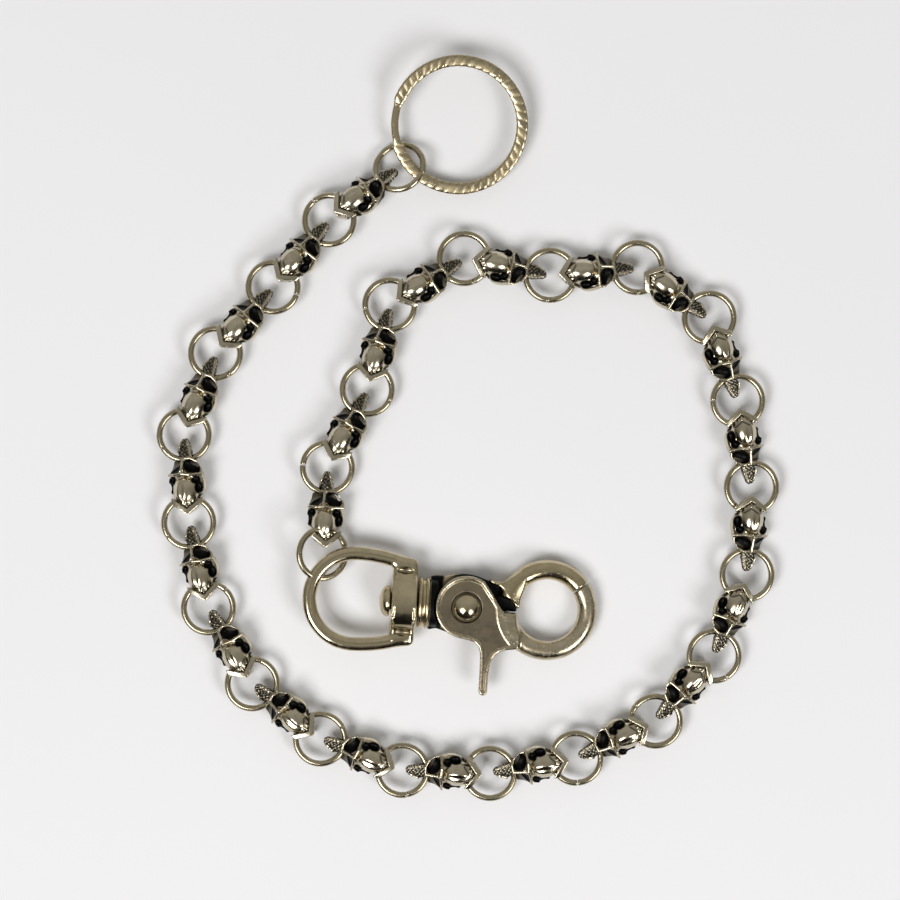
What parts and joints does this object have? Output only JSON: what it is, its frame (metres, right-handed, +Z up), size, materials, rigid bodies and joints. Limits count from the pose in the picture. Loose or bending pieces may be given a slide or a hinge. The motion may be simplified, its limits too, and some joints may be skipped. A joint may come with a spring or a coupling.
{
  "type": "wallet chain",
  "caption": "Chain of cast skull links joined by round jump rings, with a flat-wire split key ring at one end and a trigger snap with a D-shaped swivel eye at the other.",
  "frame": {"origin": "centre of the bounding box of the coiled chain, on the surface it lies on", "axes": "+X and +Y lie in the surface, +Y toward the key ring end of the coil; +Z is up, out of the surface"},
  "size_m": [0.1298, 0.1554, 0.0089],
  "materials": {
    "ring_wire": "polished",
    "aged_silver": "polished and aged",
    "pale_nickel": "polished",
    "cast_nickel": "polished casting",
    "nickel": "polished",
    "spring_steel": "bright"
  },
  "bodies": {
    "swivel_eye": {"swivel_eye": "nickel"},
    "hook": {"hook_body": "cast_nickel", "swivel_rivet": "nickel", "pivot_rivet": "nickel", "trigger_spring": "spring_steel"},
    "trigger_lever": {"trigger_lever": "cast_nickel"},
    "jump_ring_25": {"jump_ring_25": "ring_wire"},
    "skull_link_24": {"skull_link_24": "aged_silver"},
    "jump_ring_24": {"jump_ring_24": "ring_wire"},
    "skull_link_23": {"skull_link_23": "aged_silver"},
    "jump_ring_23": {"jump_ring_23": "ring_wire"},
    "skull_link_22": {"skull_link_22": "aged_silver"},
    "jump_ring_22": {"jump_ring_22": "ring_wire"},
    "skull_link_21": {"skull_link_21": "aged_silver"},
    "jump_ring_21": {"jump_ring_21": "ring_wire"},
    "skull_link_20": {"skull_link_20": "aged_silver"},
    "jump_ring_20": {"jump_ring_20": "ring_wire"},
    "skull_link_19": {"skull_link_19": "aged_silver"},
    "jump_ring_19": {"jump_ring_19": "ring_wire"},
    "skull_link_18": {"skull_link_18": "aged_silver"},
    "jump_ring_18": {"jump_ring_18": "ring_wire"},
    "skull_link_17": {"skull_link_17": "aged_silver"},
    "jump_ring_17": {"jump_ring_17": "ring_wire"},
    "skull_link_16": {"skull_link_16": "aged_silver"},
    "jump_ring_16": {"jump_ring_16": "ring_wire"},
    "skull_link_15": {"skull_link_15": "aged_silver"},
    "jump_ring_15": {"jump_ring_15": "ring_wire"},
    "skull_link_14": {"skull_link_14": "aged_silver"},
    "jump_ring_14": {"jump_ring_14": "ring_wire"},
    "skull_link_13": {"skull_link_13": "aged_silver"},
    "jump_ring_13": {"jump_ring_13": "ring_wire"},
    "skull_link_12": {"skull_link_12": "aged_silver"},
    "jump_ring_12": {"jump_ring_12": "ring_wire"},
    "skull_link_11": {"skull_link_11": "aged_silver"},
    "jump_ring_11": {"jump_ring_11": "ring_wire"},
    "skull_link_10": {"skull_link_10": "aged_silver"},
    "jump_ring_10": {"jump_ring_10": "ring_wire"},
    "skull_link_09": {"skull_link_09": "aged_silver"},
    "jump_ring_09": {"jump_ring_09": "ring_wire"},
    "skull_link_08": {"skull_link_08": "aged_silver"},
    "jump_ring_08": {"jump_ring_08": "ring_wire"},
    "skull_link_07": {"skull_link_07": "aged_silver"},
    "jump_ring_07": {"jump_ring_07": "ring_wire"},
    "skull_link_06": {"skull_link_06": "aged_silver"},
    "jump_ring_06": {"jump_ring_06": "ring_wire"},
    "skull_link_05": {"skull_link_05": "aged_silver"},
    "jump_ring_05": {"jump_ring_05": "ring_wire"},
    "skull_link_04": {"skull_link_04": "aged_silver"},
    "jump_ring_04": {"jump_ring_04": "ring_wire"},
    "skull_link_03": {"skull_link_03": "aged_silver"},
    "jump_ring_03": {"jump_ring_03": "ring_wire"},
    "skull_link_02": {"skull_link_02": "aged_silver"},
    "jump_ring_02": {"jump_ring_02": "ring_wire"},
    "skull_link_01": {"skull_link_01": "aged_silver"},
    "jump_ring_01": {"jump_ring_01": "ring_wire"},
    "key_ring": {"key_ring": "pale_nickel"}
  },
  "joints": [
    {"name": "hook_swivel", "type": "hinge", "parent": "swivel_eye", "child": "hook", "pos_m": [-0.01079, -0.03632, 0.00429], "axis": [0.9963, -0.0627, -0.0593], "continuous": true},
    {"name": "trigger_pull", "type": "hinge", "parent": "hook", "child": "trigger_lever", "pos_m": [-0.00035, -0.03733, 0.00367], "axis": [-0.0592, 0.0037, -0.9982], "range_deg": [0, 28], "stiffness_Nm_per_rad": 0.05, "springref_deg": -28.65},
    {"name": "ring_25_on_bow", "type": "hinge", "parent": "swivel_eye", "child": "jump_ring_25", "pos_m": [-0.02901, -0.02782, 0.0054], "axis": [-0.8138, -0.5794, 0.0461], "range_deg": [-12, 0]},
    {"name": "link_24_round_ring", "type": "hinge", "parent": "jump_ring_25", "child": "skull_link_24", "pos_m": [-0.03023, -0.02612, 0.00526], "axis": [-0.3869, -0.3481, -0.8539], "range_deg": [-60, 39]},
    {"name": "ring_24_in_eye", "type": "hinge", "parent": "skull_link_24", "child": "jump_ring_24", "pos_m": [-0.02956, -0.0134, 0.0033], "axis": [-0.9949, 0.0521, 0.0861], "range_deg": [-70, 70]},
    {"name": "link_23_round_ring", "type": "hinge", "parent": "jump_ring_24", "child": "skull_link_23", "pos_m": [-0.02929, -0.00826, 0.0033], "axis": [0.086, -0.0045, 0.9963], "range_deg": [-57, 30]},
    {"name": "ring_23_in_eye", "type": "hinge", "parent": "skull_link_23", "child": "jump_ring_23", "pos_m": [-0.02332, 0.00345, 0.0033], "axis": [0.8908, -0.4539, -0.0216], "range_deg": [-70, 70]},
    {"name": "link_22_round_ring", "type": "hinge", "parent": "jump_ring_23", "child": "skull_link_22", "pos_m": [-0.02099, 0.00804, 0.0033], "axis": [-0.0192, 0.0098, -0.9998], "range_deg": [-25, 53]},
    {"name": "ring_22_in_eye", "type": "hinge", "parent": "skull_link_22", "child": "jump_ring_22", "pos_m": [-0.01758, 0.02074, 0.0033], "axis": [0.9659, -0.2588, -0.0054], "range_deg": [-70, 70]},
    {"name": "link_21_round_ring", "type": "hinge", "parent": "jump_ring_22", "child": "skull_link_21", "pos_m": [-0.01625, 0.02572, 0.0033], "axis": [0.0052, -0.0014, 1], "range_deg": [-27, 16]},
    {"name": "ring_21_in_eye", "type": "hinge", "parent": "skull_link_21", "child": "jump_ring_21", "pos_m": [-0.0051, 0.03269, 0.0033], "axis": [-0.5299, 0.848, 0.0013], "range_deg": [-70, 70]},
    {"name": "link_20_round_ring", "type": "hinge", "parent": "jump_ring_21", "child": "skull_link_20", "pos_m": [-0.00073, 0.03542, 0.0033], "axis": [-0.0007, 0.0011, -1], "range_deg": [-14, 20]},
    {"name": "ring_20_in_eye", "type": "hinge", "parent": "skull_link_20", "child": "jump_ring_20", "pos_m": [0.01218, 0.03291, 0.0033], "axis": [0.1908, 0.9816, 0.0003], "range_deg": [-70, 70]},
    {"name": "link_19_round_ring", "type": "hinge", "parent": "jump_ring_20", "child": "skull_link_19", "pos_m": [0.01723, 0.03192, 0.0033], "axis": [-0.0001, -0.0003, 1], "range_deg": [-19, 20]},
    {"name": "ring_19_in_eye", "type": "hinge", "parent": "skull_link_19", "child": "jump_ring_19", "pos_m": [0.03033, 0.03307, 0.0033], "axis": [0.0872, -0.9962, -0.0001], "range_deg": [-70, 70]},
    {"name": "link_18_round_ring", "type": "hinge", "parent": "jump_ring_19", "child": "skull_link_18", "pos_m": [0.03546, 0.03352, 0.0033], "axis": [0, 0.0001, -1], "range_deg": [-11, 14]},
    {"name": "ring_18_in_eye", "type": "hinge", "parent": "skull_link_18", "child": "jump_ring_18", "pos_m": [0.04623, 0.02598, 0.0033], "axis": [-0.5736, -0.8192, 0], "range_deg": [-70, 70]},
    {"name": "link_17_round_ring", "type": "hinge", "parent": "jump_ring_18", "child": "skull_link_17", "pos_m": [0.05045, 0.02302, 0.0033], "axis": [0, 0, 1], "range_deg": [-10, 7]},
    {"name": "ring_17_in_eye", "type": "hinge", "parent": "skull_link_17", "child": "jump_ring_17", "pos_m": [0.05473, 0.01059, 0.0033], "axis": [0.9455, 0.3256, 0], "range_deg": [-70, 70]},
    {"name": "link_16_round_ring", "type": "hinge", "parent": "jump_ring_17", "child": "skull_link_16", "pos_m": [0.05641, 0.00572, 0.0033], "axis": [0, 0, -1], "range_deg": [-7, 10]},
    {"name": "ring_16_in_eye", "type": "hinge", "parent": "skull_link_16", "child": "jump_ring_16", "pos_m": [0.05847, -0.00727, 0.0033], "axis": [0.9877, 0.1564, 0], "range_deg": [-70, 70]},
    {"name": "link_15_round_ring", "type": "hinge", "parent": "jump_ring_16", "child": "skull_link_15", "pos_m": [0.05927, -0.01235, 0.0033], "axis": [0, 0, 1], "range_deg": [-11, 12]},
    {"name": "ring_15_in_eye", "type": "hinge", "parent": "skull_link_15", "child": "jump_ring_15", "pos_m": [0.05859, -0.02549, 0.0033], "axis": [-0.9986, 0.0523, 0], "range_deg": [-70, 70]},
    {"name": "link_14_round_ring", "type": "hinge", "parent": "jump_ring_15", "child": "skull_link_14", "pos_m": [0.05832, -0.03063, 0.0033], "axis": [0, 0, -1], "range_deg": [-13, 11]},
    {"name": "ring_14_in_eye", "type": "hinge", "parent": "skull_link_14", "child": "jump_ring_14", "pos_m": [0.05339, -0.04282, 0.0033], "axis": [-0.9272, 0.3746, 0], "range_deg": [-70, 70]},
    {"name": "link_13_round_ring", "type": "hinge", "parent": "jump_ring_14", "child": "skull_link_13", "pos_m": [0.05146, -0.0476, 0.0033], "axis": [0, 0, 1], "range_deg": [-11, 60]},
    {"name": "ring_13_in_eye", "type": "hinge", "parent": "skull_link_13", "child": "jump_ring_13", "pos_m": [0.04266, -0.05737, 0.0033], "axis": [0.7431, -0.6691, 0], "range_deg": [-70, 70]},
    {"name": "link_12_round_ring", "type": "hinge", "parent": "jump_ring_13", "child": "skull_link_12", "pos_m": [0.03922, -0.0612, 0.0033], "axis": [0, 0, -1], "range_deg": [-60, 11]},
    {"name": "ring_12_in_eye", "type": "hinge", "parent": "skull_link_12", "child": "jump_ring_12", "pos_m": [0.0273, -0.06675, 0.0033], "axis": [0.4226, -0.9063, 0], "range_deg": [-70, 70]},
    {"name": "link_11_round_ring", "type": "hinge", "parent": "jump_ring_12", "child": "skull_link_11", "pos_m": [0.02263, -0.06893, 0.0033], "axis": [0, 0, 1], "range_deg": [-12, 60]},
    {"name": "ring_11_in_eye", "type": "hinge", "parent": "skull_link_11", "child": "jump_ring_11", "pos_m": [0.00968, -0.07122, 0.0033], "axis": [-0.1736, 0.9848, 0], "range_deg": [-70, 70]},
    {"name": "link_10_round_ring", "type": "hinge", "parent": "jump_ring_11", "child": "skull_link_10", "pos_m": [0.00461, -0.07211, 0.0033], "axis": [0, 0, -1], "range_deg": [-60, 9]},
    {"name": "ring_10_in_eye", "type": "hinge", "parent": "skull_link_10", "child": "jump_ring_10", "pos_m": [-0.00853, -0.07165, 0.0033], "axis": [0.0349, 0.9994, 0], "range_deg": [-70, 70]},
    {"name": "link_09_round_ring", "type": "hinge", "parent": "jump_ring_10", "child": "skull_link_09", "pos_m": [-0.01368, -0.07147, 0.0033], "axis": [0, 0, 1], "range_deg": [-6, 60]},
    {"name": "ring_09_in_eye", "type": "hinge", "parent": "skull_link_09", "child": "jump_ring_09", "pos_m": [-0.02596, -0.06676, 0.0033], "axis": [-0.3584, -0.9336, 0], "range_deg": [-70, 70]},
    {"name": "link_08_round_ring", "type": "hinge", "parent": "jump_ring_09", "child": "skull_link_08", "pos_m": [-0.03077, -0.06491, 0.0033], "axis": [0, 0, -1], "range_deg": [-60, 6]},
    {"name": "ring_08_in_eye", "type": "hinge", "parent": "skull_link_08", "child": "jump_ring_08", "pos_m": [-0.04098, -0.05664, 0.0033], "axis": [-0.6293, -0.7771, 0], "range_deg": [-70, 70]},
    {"name": "link_07_round_ring", "type": "hinge", "parent": "jump_ring_08", "child": "skull_link_07", "pos_m": [-0.04499, -0.05339, 0.0033], "axis": [0, 0, 1], "range_deg": [-7, 60]},
    {"name": "ring_07_in_eye", "type": "hinge", "parent": "skull_link_07", "child": "jump_ring_07", "pos_m": [-0.05156, -0.04201, 0.0033], "axis": [0.866, 0.5, 0.0001], "range_deg": [-70, 70]},
    {"name": "link_06_round_ring", "type": "hinge", "parent": "jump_ring_07", "child": "skull_link_06", "pos_m": [-0.05414, -0.03755, 0.0033], "axis": [0.0001, 0.0001, -1], "range_deg": [-60, 7]},
    {"name": "ring_06_in_eye", "type": "hinge", "parent": "skull_link_06", "child": "jump_ring_06", "pos_m": [-0.05709, -0.02473, 0.0033], "axis": [0.9744, 0.225, 0.0004], "range_deg": [-70, 70]},
    {"name": "link_05_round_ring", "type": "hinge", "parent": "jump_ring_06", "child": "skull_link_05", "pos_m": [-0.05825, -0.01972, 0.0033], "axis": [-0.0004, -0.0001, 1], "range_deg": [-8, 60]},
    {"name": "ring_05_in_eye", "type": "hinge", "parent": "skull_link_05", "child": "jump_ring_05", "pos_m": [-0.05894, -0.00658, 0.0033], "axis": [-0.9986, -0.0523, -0.0016], "range_deg": [-70, 70]},
    {"name": "link_04_round_ring", "type": "hinge", "parent": "jump_ring_05", "child": "skull_link_04", "pos_m": [-0.05921, -0.00144, 0.0033], "axis": [0.0016, 0.0001, -1], "range_deg": [-60, 6]},
    {"name": "ring_04_in_eye", "type": "hinge", "parent": "skull_link_04", "child": "jump_ring_04", "pos_m": [-0.0545, 0.01083, 0.0033], "axis": [-0.9336, 0.3584, -0.0065], "range_deg": [-70, 70]},
    {"name": "link_03_round_ring", "type": "hinge", "parent": "jump_ring_04", "child": "skull_link_03", "pos_m": [-0.05265, 0.01564, 0.0033], "axis": [-0.0061, 0.0023, 1], "range_deg": [-7, 60]},
    {"name": "ring_03_in_eye", "type": "hinge", "parent": "skull_link_03", "child": "jump_ring_03", "pos_m": [-0.04403, 0.02557, 0.0033], "axis": [0.7545, -0.6558, 0.0262], "range_deg": [-70, 70]},
    {"name": "link_02_round_ring", "type": "hinge", "parent": "jump_ring_03", "child": "skull_link_02", "pos_m": [-0.04065, 0.02945, 0.0033], "axis": [0.0198, -0.0172, -0.9997], "range_deg": [-60, 9]},
    {"name": "ring_02_in_eye", "type": "hinge", "parent": "skull_link_02", "child": "jump_ring_02", "pos_m": [-0.03219, 0.03953, 0.0033], "axis": [0.7618, -0.6393, 0.1045], "range_deg": [-70, 70]},
    {"name": "link_01_round_ring", "type": "hinge", "parent": "jump_ring_02", "child": "skull_link_01", "pos_m": [-0.02888, 0.04347, 0.0033], "axis": [-0.0801, 0.0672, 0.9945], "range_deg": [-13, 60]},
    {"name": "ring_01_in_eye", "type": "hinge", "parent": "skull_link_01", "child": "jump_ring_01", "pos_m": [-0.01838, 0.05139, 0.0033], "axis": [-0.5498, 0.7296, -0.4067], "range_deg": [-70, 70]},
    {"name": "key_ring_on_ring", "type": "hinge", "parent": "jump_ring_01", "child": "key_ring", "pos_m": [-0.01002, 0.05739, 0.00341], "axis": [-0.5089, 0.759, -0.4062], "range_deg": [-15, 11]}
  ]
}
